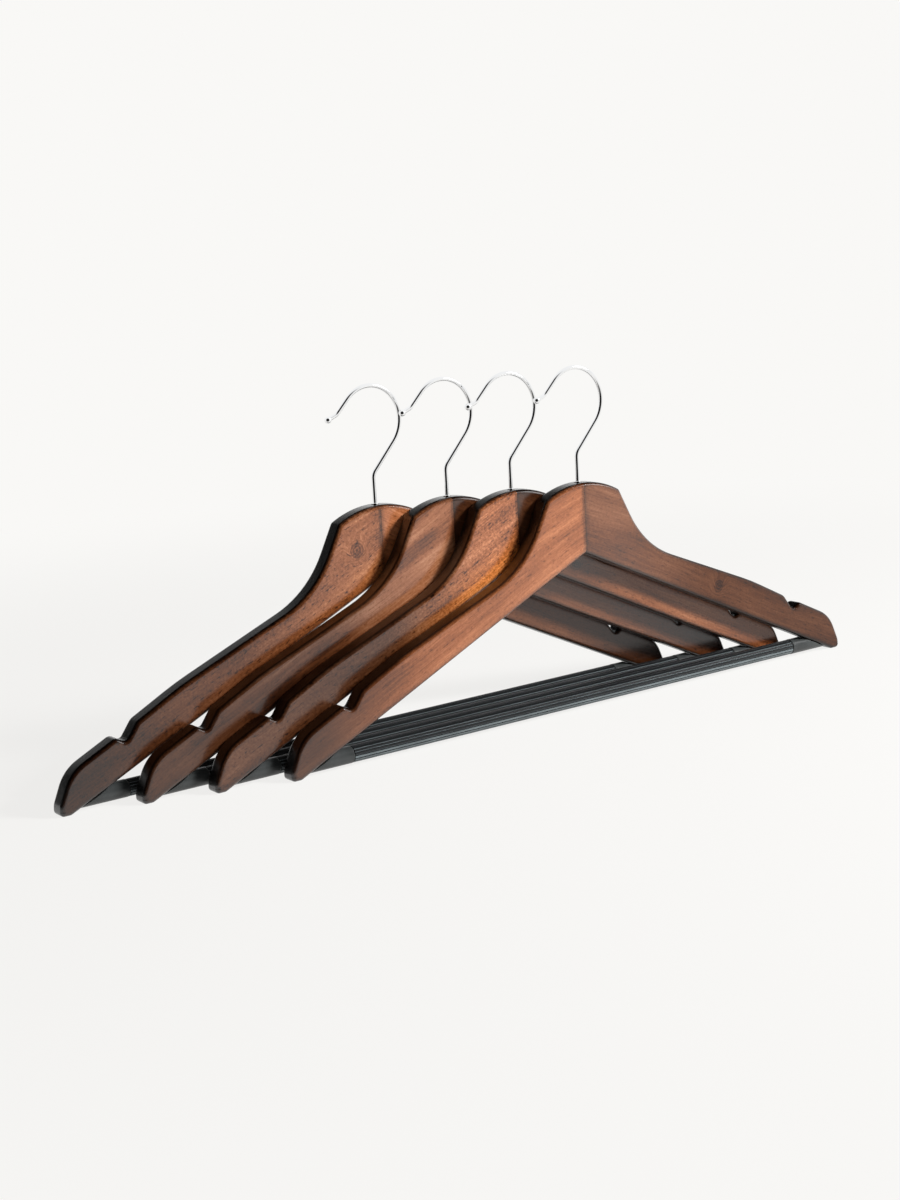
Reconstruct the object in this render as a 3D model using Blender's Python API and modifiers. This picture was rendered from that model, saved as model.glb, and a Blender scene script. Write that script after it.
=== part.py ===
"""A set of four matching wooden clothes hangers, standing in a row on their tips.

Each hanger is two flat hardwood boards mitred together at the centre, a chromed wire hook that
swivels in a small collar, and a trouser bar: a dowel core in a ribbed non-slip sleeve, with a
smooth cap at each end. The rear hangers stand further to the left, so that the row fans out.

Frame: metres, +X along the hangers from left to right, +Y to the rear, +Z up. The origin is the
bottom centre of the whole set.
"""
import math

import bmesh
import bpy
from mathutils import Matrix, Vector

MM = 0.001
GAP = 0.3 * MM                          # play between neighbouring pieces

# Driving dimensions of one hanger, measured in its own plane from the centre line and the tips.
HALF_WIDTH = 225.0 * MM
BOARD_THICKNESS = 12.0 * MM
EDGE_ROUND = 2.5 * MM                   # rounding along the boards' edges
CROWN_HEIGHT = 146.0 * MM               # top of the boards at the centre line
CROWN_RADIUS = 60.0 * MM
CROWN_HALF_WIDTH = 29.6 * MM
MITRE_FOOT_HEIGHT = 101.2 * MM          # bottom of the boards at the centre line
LOWER_EDGE_END = 218.5 * MM             # where the straight lower edge meets the tip's foot
BAR_HEIGHT = 7.0 * MM                   # axis of the trouser bar

# Hook, bent from one wire in the hanger's plane.
WIRE_RADIUS = 1.4 * MM
HOOK_RADIUS = 21.3 * MM                 # centre line of the large bend
HOOK_CENTRE_X = 0.1 * MM
HOOK_CENTRE_ABOVE_CROWN = 50.8 * MM
HOOK_NECK_ROUND = 7.0 * MM
HOOK_LEAN = math.radians(48.5)          # slope of the straight stretch above the neck
HOOK_OPENING = math.radians(136.0)      # where the large bend ends, counted from +X
HOOK_MOUTH_LENGTH = 10.5 * MM           # straight stretch after the large bend
HOOK_FLICK_ROUND = 6.0 * MM             # the mouth flicks outward before the ball tip
HOOK_FLICK_TURN = math.radians(24.0)
HOOK_FLICK_LENGTH = 5.4 * MM
BALL_RADIUS = 2.2 * MM

# Seat of the hook, below the crown.
COLLAR_RADIUS = 2.1 * MM
COLLAR_RISE = 0.9 * MM                  # height of the collar's rim above the crown
COLLAR_DEPTH = 9.0 * MM
POCKET_TOP = 19.5 * MM                  # depth of the closed pocket below the crown
POCKET_BOTTOM = 24.5 * MM
POCKET_RADIUS = 4.4 * MM
WASHER_RADIUS = 4.0 * MM
WASHER_THICKNESS = 1.0 * MM
HOOK_HEAD_RADIUS = 2.8 * MM
HOOK_HEAD_THICKNESS = 2.2 * MM

# Dowels across the mitre.
DOWEL_RADIUS = 2.5 * MM
DOWEL_HALF_LENGTH = 12.0 * MM
DOWEL_DEPTHS = {"upper": 30.0 * MM, "lower": 37.8 * MM}

# Trouser bar.
CORE_RADIUS = 4.0 * MM
TENON_RADIUS = 3.0 * MM
TENON_END = 218.3 * MM
SLEEVE_RADIUS = 5.1 * MM
SLEEVE_HALF_LENGTH = 181.0 * MM
RIB_COUNT = 16
RIB_HEIGHT = 0.4 * MM
CAP_RADIUS = 5.25 * MM
PIN_RADIUS = 0.6 * MM
PIN_LENGTH = 9.0 * MM
PIN_X = 213.0 * MM

# The row: place of each hanger's centre line and front face, from the rear hanger to the front one.
ROW_PITCH = 12.5 * MM
ROW_SHIFTS = (-128.3 * MM, -83.3 * MM, -43.3 * MM, 0.0)

# Facets around the small round pieces, the bar's cap and the pins.
ROUND_STEPS = 12
BAR_STEPS = 16
PIN_STEPS = 8

SIDES = {"left": -1.0, "right": 1.0}
COLLECTION_NAME = "wooden_hanger_set"

# Base colour, roughness and metallic value of each material.
MATERIALS = {
    "lacquered_wood": ((0.24, 0.11, 0.065), 0.38, 0.0),
    "bare_wood": ((0.62, 0.45, 0.27), 0.65, 0.0),
    "chrome": ((0.80, 0.80, 0.82), 0.08, 1.0),
    "zinc_steel": ((0.55, 0.56, 0.58), 0.35, 1.0),
    "ribbed_vinyl": ((0.075, 0.085, 0.095), 0.55, 0.0),
    "black_plastic": ((0.05, 0.055, 0.055), 0.40, 0.0),
}


def clear_scene():
    for old in list(bpy.data.objects):
        bpy.data.objects.remove(old, do_unlink=True)


def new_collection(name):
    collection = bpy.data.collections.new(name)
    bpy.context.scene.collection.children.link(collection)
    return collection


def new_material(name):
    colour, roughness, metallic = MATERIALS[name]
    material = bpy.data.materials.new(name)
    material.use_nodes = True
    shader = material.node_tree.nodes["Principled BSDF"]
    shader.inputs["Base Color"].default_value = (*colour, 1.0)
    shader.inputs["Roughness"].default_value = roughness
    shader.inputs["Metallic"].default_value = metallic
    material.diffuse_color = (*colour, 1.0)
    return material


def rounded_outline(corners):
    """Turn corners (x, z, radius, steps) of a polygon into points, with each corner as an arc."""
    points = []
    for index, (x, z, radius, steps) in enumerate(corners):
        here = Vector((x, z))
        if radius == 0.0:
            points.append(here)
            continue
        before = Vector(corners[index - 1][:2]) - here
        after = Vector(corners[(index + 1) % len(corners)][:2]) - here
        half_angle = before.angle(after) / 2
        reach = radius / math.tan(half_angle)
        start = here + before.normalized() * reach
        end = here + after.normalized() * reach
        bisector = (before.normalized() + after.normalized()).normalized()
        centre = here + bisector * (radius / math.sin(half_angle))
        sweep = (start - centre).angle_signed(end - centre)
        for step in range(steps + 1):
            turned = Matrix.Rotation(-sweep * step / steps, 2) @ (start - centre)
            points.append(centre + turned)
    return points


def crown_height_at(x):
    return CROWN_HEIGHT - CROWN_RADIUS + math.sqrt(CROWN_RADIUS ** 2 - x ** 2)


def lower_edge_slope():
    return MITRE_FOOT_HEIGHT / LOWER_EDGE_END


def arm_outline():
    """Outline of a right arm in its plane. It runs past the centre line, where the mitre cuts it."""
    start = -8.0 * MM
    crown_steps = 7
    crown = []
    for step in range(crown_steps):
        x = start + (CROWN_HALF_WIDTH - start) * step / crown_steps
        crown.append((x, crown_height_at(x), 0.0, 0))
    shoulder = (
        (CROWN_HALF_WIDTH, crown_height_at(CROWN_HALF_WIDTH), 3.2 * MM, 4),
        (49.7 * MM, 98.8 * MM, 66.0 * MM, 7),
        (143.0 * MM, 60.8 * MM, 200.0 * MM, 2),
        (173.2 * MM, 45.4 * MM, 7.0 * MM, 3),
    )
    notch = (
        (181.2 * MM, 34.6 * MM, 3.0 * MM, 4),
        (187.4 * MM, 38.6 * MM, 4.0 * MM, 4),
    )
    tip = (
        (217.0 * MM, 24.4 * MM, 25.0 * MM, 5),
        (HALF_WIDTH, 5.5 * MM, 12.0 * MM, 2),
        (HALF_WIDTH, 0.0, 2.5 * MM, 5),
        (LOWER_EDGE_END, 0.0, 2.8 * MM, 2),
    )
    foot = ((start, MITRE_FOOT_HEIGHT - start * lower_edge_slope(), 0.0, 0),)
    return rounded_outline((*crown, *shoulder, *notch, *tip, *foot))


class Hanger:
    """Builds one hanger's pieces around its own centre line, on an empty at its place in the row."""

    def __init__(self, name, place, parts, cutters, materials):
        self.name = name
        self.parts = parts
        self.cutters = cutters
        self.materials = materials
        self.origin = bpy.data.objects.new(name, None)
        self.origin.location = place
        parts.objects.link(self.origin)

    def add(self, piece, mesh_or_curve, material, local=Matrix()):
        """Add a piece at its place in the hanger."""
        obj = bpy.data.objects.new(f"{self.name}_{piece}", mesh_or_curve)
        mesh_or_curve.materials.append(self.materials[material])
        obj.parent = self.origin
        obj.matrix_local = local
        self.parts.objects.link(obj)
        return obj

    def add_cutter(self, piece, mesh, local=Matrix()):
        cutter = bpy.data.objects.new(f"{self.name}_{piece}_cutter", mesh)
        cutter.parent = self.origin
        cutter.matrix_local = local
        cutter.hide_render = True
        cutter.display_type = "WIRE"
        self.cutters.objects.link(cutter)
        return cutter


def cut(target, cutter):
    modifier = target.modifiers.new(cutter.name, "BOOLEAN")
    modifier.operation = "DIFFERENCE"
    modifier.object = cutter


def smooth(mesh, angle=math.radians(35.0)):
    mesh.shade_smooth()
    mesh.set_sharp_from_angle(angle=angle)


def curve_to_mesh(curve, name):
    """Mesh of a curve, with its caps welded on."""
    holder = bpy.data.objects.new(name, curve)
    bpy.context.scene.collection.objects.link(holder)
    evaluated = holder.evaluated_get(bpy.context.evaluated_depsgraph_get())
    mesh = bpy.data.meshes.new_from_object(evaluated)
    bpy.data.objects.remove(holder, do_unlink=True)
    surface = bmesh.new()
    surface.from_mesh(mesh)
    bmesh.ops.remove_doubles(surface, verts=surface.verts, dist=1e-6)
    surface.to_mesh(mesh)
    surface.free()
    return mesh


def flat_mesh(name, outlines, thickness):
    """Flat outlines, the second and later ones as holes, drawn in XY and extruded both ways in Z."""
    curve = bpy.data.curves.new(name, "CURVE")
    curve.dimensions = "2D"
    curve.fill_mode = "BOTH"
    curve.extrude = thickness / 2
    for outline in outlines:
        spline = curve.splines.new("POLY")
        spline.points.add(len(outline) - 1)
        for point, (x, y) in zip(spline.points, outline):
            point.co = (x, y, 0.0, 1.0)
        spline.use_cyclic_u = True
    return curve_to_mesh(curve, name)


def cylinder_mesh(name, radius, length, segments, chamfer=0.0):
    """A cylinder along Z, centred on the origin, with optional chamfered ends."""
    mesh = bpy.data.meshes.new(name)
    surface = bmesh.new()
    bmesh.ops.create_cone(
        surface, cap_ends=True, segments=segments, radius1=radius, radius2=radius, depth=length
    )
    if chamfer:
        rims = [edge for edge in surface.edges if len({round(v.co.z, 7) for v in edge.verts}) == 1]
        bmesh.ops.bevel(surface, geom=rims, offset=chamfer, segments=1, affect="EDGES")
    surface.to_mesh(mesh)
    surface.free()
    smooth(mesh)
    return mesh


def box_mesh(name, low, high):
    mesh = bpy.data.meshes.new(name)
    surface = bmesh.new()
    size = Vector(high) - Vector(low)
    middle = (Vector(high) + Vector(low)) / 2
    placed = Matrix.Translation(middle) @ Matrix.Diagonal((*size, 1.0))
    bmesh.ops.create_cube(surface, size=1.0, matrix=placed)
    surface.to_mesh(mesh)
    surface.free()
    return mesh


def profile_mesh(name, profile):
    """Edge chain for a Screw modifier, from (radius, height) pairs."""
    mesh = bpy.data.meshes.new(name)
    surface = bmesh.new()
    chain = [surface.verts.new((radius, 0.0, height)) for radius, height in profile]
    for start, end in zip(chain, chain[1:]):
        surface.edges.new((start, end))
    if profile[0][0] > 0.0:
        surface.edges.new((chain[-1], chain[0]))
    surface.to_mesh(mesh)
    surface.free()
    return mesh


def turn(obj, steps):
    """Turn a profile around the object's Z axis."""
    screw = obj.modifiers.new("turn", "SCREW")
    screw.steps = steps
    screw.render_steps = steps
    screw.use_merge_vertices = True
    screw.merge_threshold = 1e-6
    screw.use_smooth_shade = True


def along_x(x, z):
    """Place for a piece modelled along Z that lies along X, in the middle of the board."""
    return Matrix.Translation((x, BOARD_THICKNESS / 2, z)) @ Matrix.Rotation(math.pi / 2, 4, "Y")


def on_hook_axis():
    return Matrix.Translation((0.0, BOARD_THICKNESS / 2, CROWN_HEIGHT))


def add_arm(hanger, side):
    """One board, mitred at the centre line, with its edges rounded."""
    sign = SIDES[side]
    outline = [(sign * x, z) for x, z in arm_outline()]
    mesh = flat_mesh(f"{hanger.name}_{side}_arm", [outline], BOARD_THICKNESS)
    upright = Matrix.Translation((0.0, BOARD_THICKNESS / 2, 0.0)) @ Matrix.Rotation(math.pi / 2, 4, "X")
    arm = hanger.add(f"{side}_arm", mesh, "lacquered_wood", upright)
    bevel = arm.modifiers.new("edge_round", "BEVEL")
    bevel.width = EDGE_ROUND
    bevel.segments = 2
    bevel.limit_method = "ANGLE"
    bevel.angle_limit = math.radians(60.0)
    reach = 2 * CROWN_HALF_WIDTH
    inner, outer = sorted((sign * GAP / 2, -sign * reach))
    waste = box_mesh(
        f"{side}_mitre",
        (inner, -BOARD_THICKNESS, MITRE_FOOT_HEIGHT / 2),
        (outer, 2 * BOARD_THICKNESS, CROWN_HEIGHT + reach),
    )
    cut(arm, hanger.add_cutter(f"{side}_mitre", waste))
    return arm


def add_hook_seat(hanger, arms):
    """Collar, washer and the bore that holds them and the hook, half in each arm."""
    overrun = 6.0 * MM
    bore_profile = (
        (0.0, overrun),
        (COLLAR_RADIUS + GAP, overrun),
        (COLLAR_RADIUS + GAP, -COLLAR_DEPTH - GAP),
        (WIRE_RADIUS + GAP, -COLLAR_DEPTH - GAP),
        (WIRE_RADIUS + GAP, -POCKET_TOP),
        (POCKET_RADIUS, -POCKET_TOP),
        (POCKET_RADIUS, -POCKET_BOTTOM),
        (0.0, -POCKET_BOTTOM),
    )
    bore = hanger.add_cutter("hook_bore", profile_mesh("hook_bore", bore_profile), on_hook_axis())
    turn(bore, ROUND_STEPS)
    for arm in arms:
        cut(arm, bore)
    bore_radius = WIRE_RADIUS + GAP
    rim_chamfer = 0.2 * MM
    collar_profile = (
        (bore_radius, COLLAR_RISE),
        (COLLAR_RADIUS - rim_chamfer, COLLAR_RISE),
        (COLLAR_RADIUS, COLLAR_RISE - rim_chamfer),
        (COLLAR_RADIUS, -COLLAR_DEPTH),
        (bore_radius, -COLLAR_DEPTH),
    )
    collar = hanger.add("hook_ferrule", profile_mesh("collar", collar_profile), "chrome", on_hook_axis())
    turn(collar, ROUND_STEPS)
    washer_top = -POCKET_TOP - GAP
    washer_profile = (
        (bore_radius, washer_top),
        (WASHER_RADIUS, washer_top),
        (WASHER_RADIUS, washer_top - WASHER_THICKNESS),
        (bore_radius, washer_top - WASHER_THICKNESS),
    )
    washer = hanger.add("hook_washer", profile_mesh("washer", washer_profile), "zinc_steel", on_hook_axis())
    turn(washer, ROUND_STEPS)


def direction(angle):
    return Vector((math.cos(angle), math.sin(angle)))


def arc(centre, radius, start, end, steps):
    """Points of an arc, from one angle to another."""
    return [centre + radius * direction(start + (end - start) * step / steps) for step in range(steps + 1)]


def hook_path():
    """Points (x, z) of the wire's centre line from the upset head to the ball tip, above the crown."""
    bend_start = HOOK_LEAN - math.pi / 2
    bend_centre = Vector((HOOK_CENTRE_X, HOOK_CENTRE_ABOVE_CROWN))
    bend = arc(bend_centre, HOOK_RADIUS, bend_start, HOOK_OPENING, 15)
    lean_height = bend[0].y - bend[0].x * math.tan(HOOK_LEAN)
    neck_reach = HOOK_NECK_ROUND * math.tan((math.pi / 2 - HOOK_LEAN) / 2)
    neck_centre = Vector((HOOK_NECK_ROUND, lean_height - neck_reach))
    neck = arc(neck_centre, HOOK_NECK_ROUND, math.pi, math.pi / 2 + HOOK_LEAN, 3)
    mouth_end = bend[-1] + HOOK_MOUTH_LENGTH * direction(HOOK_OPENING + math.pi / 2)
    flick_centre = mouth_end + HOOK_FLICK_ROUND * direction(HOOK_OPENING)
    flick_start = HOOK_OPENING + math.pi
    flick = arc(flick_centre, HOOK_FLICK_ROUND, flick_start, flick_start - HOOK_FLICK_TURN, 2)
    return [*neck, *bend, *flick]


def add_hook(hanger):
    """The wire hook, with an upset head below its washer and a ball tip."""
    head_top = -POCKET_TOP - 2 * GAP - WASHER_THICKNESS
    head = (
        (Vector((0.0, head_top - HOOK_HEAD_THICKNESS)), HOOK_HEAD_RADIUS),
        (Vector((0.0, head_top - 0.3 * HOOK_HEAD_THICKNESS)), HOOK_HEAD_RADIUS),
        (Vector((0.0, head_top)), WIRE_RADIUS),
    )
    path = hook_path()
    wire = [(place, WIRE_RADIUS) for place in path]
    outward = direction(HOOK_OPENING + math.pi / 2 - HOOK_FLICK_TURN)
    ball_centre = path[-1] + outward * HOOK_FLICK_LENGTH
    ball_start = math.pi - math.asin(WIRE_RADIUS / BALL_RADIUS)
    ball_end = 0.12
    ball_steps = 6
    ball = []
    for step in range(ball_steps + 1):
        angle = ball_start + (ball_end - ball_start) * step / ball_steps
        ball.append((ball_centre + outward * BALL_RADIUS * math.cos(angle), BALL_RADIUS * math.sin(angle)))
    points = [*head, *wire, *ball]
    curve = bpy.data.curves.new(f"{hanger.name}_hook", "CURVE")
    curve.dimensions = "3D"
    curve.bevel_depth = WIRE_RADIUS
    curve.bevel_resolution = 2
    curve.use_fill_caps = True
    spline = curve.splines.new("POLY")
    spline.points.add(len(points) - 1)
    for point, (place, radius) in zip(spline.points, points):
        point.co = (place.x, 0.0, place.y, 1.0)
        point.radius = radius / WIRE_RADIUS
    spline.use_smooth = True
    hanger.add("hook", curve, "chrome", on_hook_axis())


def add_mitre_dowels(hanger, arms):
    for level, depth in DOWEL_DEPTHS.items():
        place = along_x(0.0, CROWN_HEIGHT - depth)
        bore_length = 2 * (DOWEL_HALF_LENGTH + GAP)
        bore = cylinder_mesh(f"{level}_dowel_bore", DOWEL_RADIUS + GAP, bore_length, ROUND_STEPS)
        cutter = hanger.add_cutter(f"{level}_mitre_dowel", bore, place)
        for arm in arms:
            cut(arm, cutter)
        dowel = cylinder_mesh(f"{level}_dowel", DOWEL_RADIUS, 2 * DOWEL_HALF_LENGTH, ROUND_STEPS, 0.6 * MM)
        hanger.add(f"{level}_mitre_dowel", dowel, "bare_wood", place)


def add_bar_core(hanger):
    """Dowel with a turned-down tenon at each end."""
    shoulder = SLEEVE_HALF_LENGTH
    profile = (
        (0.0, TENON_END),
        (TENON_RADIUS, TENON_END),
        (TENON_RADIUS, shoulder),
        (CORE_RADIUS, shoulder),
        (CORE_RADIUS, -shoulder),
        (TENON_RADIUS, -shoulder),
        (TENON_RADIUS, -TENON_END),
        (0.0, -TENON_END),
    )
    core = hanger.add("bar_core", profile_mesh("bar_core", profile), "bare_wood", along_x(0.0, BAR_HEIGHT))
    turn(core, ROUND_STEPS)
    return core


def circle(radius, segments):
    angles = [2 * math.pi * index / segments for index in range(segments)]
    return [(radius * math.cos(angle), radius * math.sin(angle)) for angle in angles]


def ribbed_circle():
    """Outline of the sleeve: flat-topped ribs with narrower grooves between them."""
    points = []
    pitch = 2 * math.pi / RIB_COUNT
    for rib in range(RIB_COUNT):
        for fraction, depth in ((0.0, 0.0), (0.55, 0.0), (0.70, RIB_HEIGHT), (0.85, RIB_HEIGHT)):
            angle = pitch * (rib + fraction)
            radius = SLEEVE_RADIUS - depth
            points.append((radius * math.cos(angle), radius * math.sin(angle)))
    return points


def add_bar_sleeve(hanger):
    outlines = [ribbed_circle(), circle(CORE_RADIUS + GAP, BAR_STEPS)]
    mesh = flat_mesh(f"{hanger.name}_bar_sleeve", outlines, 2 * SLEEVE_HALF_LENGTH)
    hanger.add("bar_sleeve", mesh, "ribbed_vinyl", along_x(0.0, BAR_HEIGHT))


def add_bar_end(hanger, side):
    """Smooth cap over a tenon, from the sleeve to the arm, where it is cut on the arm's slope."""
    sign = SIDES[side]
    near = SLEEVE_HALF_LENGTH + GAP
    far = HALF_WIDTH
    chamfer = 0.6 * MM
    bore_radius = TENON_RADIUS + GAP
    profile = (
        (bore_radius, far),
        (CAP_RADIUS, far),
        (CAP_RADIUS, near + chamfer),
        (CAP_RADIUS - chamfer, near),
        (bore_radius, near),
    )
    flipped = Matrix.Translation((0.0, BOARD_THICKNESS / 2, BAR_HEIGHT))
    flipped = flipped @ Matrix.Rotation(sign * math.pi / 2, 4, "Y")
    cap = hanger.add(f"{side}_bar_end", profile_mesh("bar_end", profile), "black_plastic", flipped)
    turn(cap, BAR_STEPS)
    slope = math.atan(lower_edge_slope())
    waste = box_mesh(
        "bar_end_waste",
        (-HALF_WIDTH, -BOARD_THICKNESS, -GAP),
        (HALF_WIDTH, BOARD_THICKNESS, 60.0 * MM),
    )
    on_edge = Matrix.Translation((sign * LOWER_EDGE_END, BOARD_THICKNESS / 2, 0.0))
    on_edge = on_edge @ Matrix.Rotation(sign * slope, 4, "Y")
    cut(cap, hanger.add_cutter(f"{side}_bar_end", waste, on_edge))


def add_bar_pin(hanger, side, arm, core):
    """Panel pin through an arm and the tenon in it, and the tenon's bore."""
    sign = SIDES[side]
    bore_start = SLEEVE_HALF_LENGTH
    bore_end = TENON_END + GAP
    bore = cylinder_mesh("tenon_bore", TENON_RADIUS + GAP, bore_end - bore_start, ROUND_STEPS)
    middle = sign * (bore_start + bore_end) / 2
    cut(arm, hanger.add_cutter(f"{side}_tenon", bore, along_x(middle, BAR_HEIGHT)))
    pin_middle = BOARD_THICKNESS - GAP - PIN_LENGTH / 2
    across = Matrix.Rotation(math.pi / 2, 4, "X")
    place = Matrix.Translation((sign * PIN_X, pin_middle, BAR_HEIGHT)) @ across
    hole_length = PIN_LENGTH + 4 * GAP
    hole = cylinder_mesh("pin_hole", PIN_RADIUS + GAP, hole_length, PIN_STEPS)
    hole_middle = BOARD_THICKNESS + 2 * GAP - hole_length / 2
    hole_place = Matrix.Translation((sign * PIN_X, hole_middle, BAR_HEIGHT)) @ across
    cutter = hanger.add_cutter(f"{side}_bar_pin", hole, hole_place)
    cut(arm, cutter)
    cut(core, cutter)
    pin = cylinder_mesh("bar_pin", PIN_RADIUS, PIN_LENGTH, PIN_STEPS)
    hanger.add(f"{side}_bar_pin", pin, "zinc_steel", place)


def add_hanger(name, place, parts, cutters, materials):
    hanger = Hanger(name, place, parts, cutters, materials)
    arms = {side: add_arm(hanger, side) for side in SIDES}
    add_hook_seat(hanger, arms.values())
    add_mitre_dowels(hanger, arms.values())
    add_hook(hanger)
    core = add_bar_core(hanger)
    add_bar_sleeve(hanger)
    for side, arm in arms.items():
        add_bar_end(hanger, side)
        add_bar_pin(hanger, side, arm, core)


def main():
    clear_scene()
    parts = new_collection(COLLECTION_NAME)
    cutters = new_collection("cutters")
    materials = {name: new_material(name) for name in MATERIALS}
    middle_x = (min(ROW_SHIFTS) + max(ROW_SHIFTS)) / 2
    depth = ROW_PITCH * (len(ROW_SHIFTS) - 1) + BOARD_THICKNESS
    for index, shift in enumerate(ROW_SHIFTS):
        rear_place = depth / 2 - BOARD_THICKNESS
        place = Vector((shift - middle_x, rear_place - index * ROW_PITCH, 0.0))
        add_hanger(f"hanger_{index + 1}", place, parts, cutters, materials)


main()
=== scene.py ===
"""Looks of a set of four wooden clothes hangers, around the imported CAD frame.

Boards, hooks, collars, bar ends, sleeves and pins get finer meshes of the CAD pieces' dimensions. Every piece
gets a procedural material: stained and lacquered hardwood, chromed wire, ribbed vinyl, moulded plastic,
bare wood or zinc-plated steel.
"""
import math

import bmesh
import bpy
from mathutils import Matrix, Vector


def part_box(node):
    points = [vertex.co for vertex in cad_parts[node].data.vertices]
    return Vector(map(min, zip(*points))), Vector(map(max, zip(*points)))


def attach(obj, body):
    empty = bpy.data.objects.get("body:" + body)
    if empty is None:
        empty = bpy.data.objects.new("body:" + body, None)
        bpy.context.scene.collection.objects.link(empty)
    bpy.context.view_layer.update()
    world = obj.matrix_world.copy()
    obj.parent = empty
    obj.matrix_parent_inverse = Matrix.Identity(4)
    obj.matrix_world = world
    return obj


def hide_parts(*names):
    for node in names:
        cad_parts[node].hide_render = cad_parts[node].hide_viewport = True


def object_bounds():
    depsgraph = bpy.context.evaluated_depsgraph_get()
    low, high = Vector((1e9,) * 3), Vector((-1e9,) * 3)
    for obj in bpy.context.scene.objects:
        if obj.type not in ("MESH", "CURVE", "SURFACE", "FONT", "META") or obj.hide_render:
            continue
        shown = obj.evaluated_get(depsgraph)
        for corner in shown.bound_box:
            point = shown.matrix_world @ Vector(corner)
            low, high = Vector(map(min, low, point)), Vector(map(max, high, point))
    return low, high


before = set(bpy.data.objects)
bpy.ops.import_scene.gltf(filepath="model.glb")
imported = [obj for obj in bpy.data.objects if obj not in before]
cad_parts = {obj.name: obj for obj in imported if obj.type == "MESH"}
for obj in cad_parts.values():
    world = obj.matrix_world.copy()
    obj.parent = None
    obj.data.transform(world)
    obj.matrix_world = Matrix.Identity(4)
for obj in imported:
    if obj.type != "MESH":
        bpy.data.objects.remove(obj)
cad_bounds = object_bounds()

MM = 0.001
HANGERS = ("hanger_1", "hanger_2", "hanger_3", "hanger_4")      # from the rear of the row to its front
SIDES = {"left": -1.0, "right": 1.0}

# Board outline, in a hanger's own plane, from the centre line and the tips.
CROWN_RADIUS = 60.0 * MM
CROWN_HALF_WIDTH = 29.6 * MM
MITRE_FOOT_HEIGHT = 101.2 * MM
LOWER_EDGE_END = 218.5 * MM
EDGE_ROUND = 2.5 * MM
EDGE_STEPS = 6
FACE_ROWS = 8
MITRE_GAP = 0.05 * MM                   # from the mitre's face to the centre line
MITRE_CHAMFER = 0.12 * MM
OVERRUN = 8.0 * MM                      # boards are drawn past the centre line, then cut
CROWN_CORNER_ROUND = 3.2 * MM
UPPER_CORNERS = (                       # distance from the centre line, height and rounding
    (49.7 * MM, 98.8 * MM, 66.0 * MM),      # neck
    (143.0 * MM, 60.8 * MM, 200.0 * MM),    # middle of the arm
    (173.2 * MM, 45.4 * MM, 7.0 * MM),      # knee before the notch
    (181.2 * MM, 34.6 * MM, 3.0 * MM),      # bottom of the notch
    (187.4 * MM, 38.6 * MM, 4.0 * MM),      # lip after the notch
    (217.0 * MM, 24.4 * MM, 25.0 * MM),     # back of the tip
)
TIP_CORNER_HEIGHT = 5.5 * MM
TIP_CORNER_ROUND = 12.0 * MM
TIP_SIDE_HEIGHT = 2.7 * MM
FOOT_ROUNDS = (2.8 * MM, 2.5 * MM)      # under the tip, at its inner and its outer end
FAN_LENGTH = 8.5 * MM                   # end of the tip where columns fan out

# Hook.
WIRE_RADIUS = 1.4 * MM
HOOK_RADIUS = 21.3 * MM
HOOK_CENTRE_X = 0.1 * MM
HOOK_CENTRE_ABOVE_CROWN = 50.8 * MM
HOOK_NECK_ROUND = 7.0 * MM
HOOK_LEAN = math.radians(48.5)
HOOK_OPENING = math.radians(136.0)
HOOK_MOUTH_LENGTH = 10.5 * MM
HOOK_FLICK_ROUND = 6.0 * MM
HOOK_FLICK_TURN = math.radians(24.0)
HOOK_FLICK_LENGTH = 5.4 * MM
BALL_RADIUS = 2.2 * MM
HOOK_HEAD_RADIUS = 2.8 * MM
HOOK_HEAD_THICKNESS = 2.2 * MM
HEAD_TOP = -21.1 * MM                   # top of the hook's upset head, from the crown
HEAD_PROFILE = (                        # shares of the head's thickness and of its radius
    (1.0, 0.0),
    (1.0, 0.86),
    (0.9, 1.0),
    (0.3, 1.0),
    (0.16, 0.9),
    (0.05, 0.6),
)

# Seat of the hook.
GAP = 0.3 * MM
COLLAR_RADIUS = 2.1 * MM
COLLAR_RISE = 0.9 * MM
COLLAR_DEPTH = 9.0 * MM
POCKET_RADIUS = 4.4 * MM
POCKET_TOP = 19.5 * MM
POCKET_BOTTOM = 24.5 * MM
DOWEL_RADIUS = 2.5 * MM
DOWEL_HALF_LENGTH = 12.0 * MM
DOWEL_DEPTHS = (30.0 * MM, 37.8 * MM)

# Trouser bar.
BAR_HEIGHT = 7.0 * MM
CORE_RADIUS = 4.0 * MM
TENON_RADIUS = 3.0 * MM
TENON_END = 218.3 * MM
SLEEVE_RADIUS = 5.1 * MM
SLEEVE_HALF_LENGTH = 181.0 * MM
RIB_COUNT = 16
RIB_HEIGHT = 0.4 * MM
CAP_RADIUS = 5.25 * MM
PIN_RADIUS = 0.6 * MM
PIN_LENGTH = 9.0 * MM
PIN_X = 213.0 * MM

# Camera: lens for 36 mm on the picture's long side, place, and turns about Z, X and its line of sight.
CAMERA_LENS = 60.84
CAMERA_PLACE = (-0.7327, -1.0011, 0.3353)
CAMERA_YAW = math.radians(-35.23)
CAMERA_PITCH = math.radians(-11.65)
CAMERA_ROLL = math.radians(-3.22)

BACKGROUND = (0.947, 0.939, 0.922)
TENT_OPENING = tuple(Vector((-0.73, -1.00, 0.20)).normalized())
FLOOR_BOUNCE = 0.12                     # how brightly the floor lights the hangers from below


# ------------------------------------------------------------------------------------------ geometry

def direction(angle):
    return Vector((math.cos(angle), math.sin(angle)))


def arc(centre, radius, start, end, turn_step=math.radians(4.0)):
    """Points of an arc, from one angle to another."""
    steps = max(2, math.ceil(abs(end - start) / turn_step))
    return [centre + radius * direction(start + (end - start) * step / steps) for step in range(steps + 1)]


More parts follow.
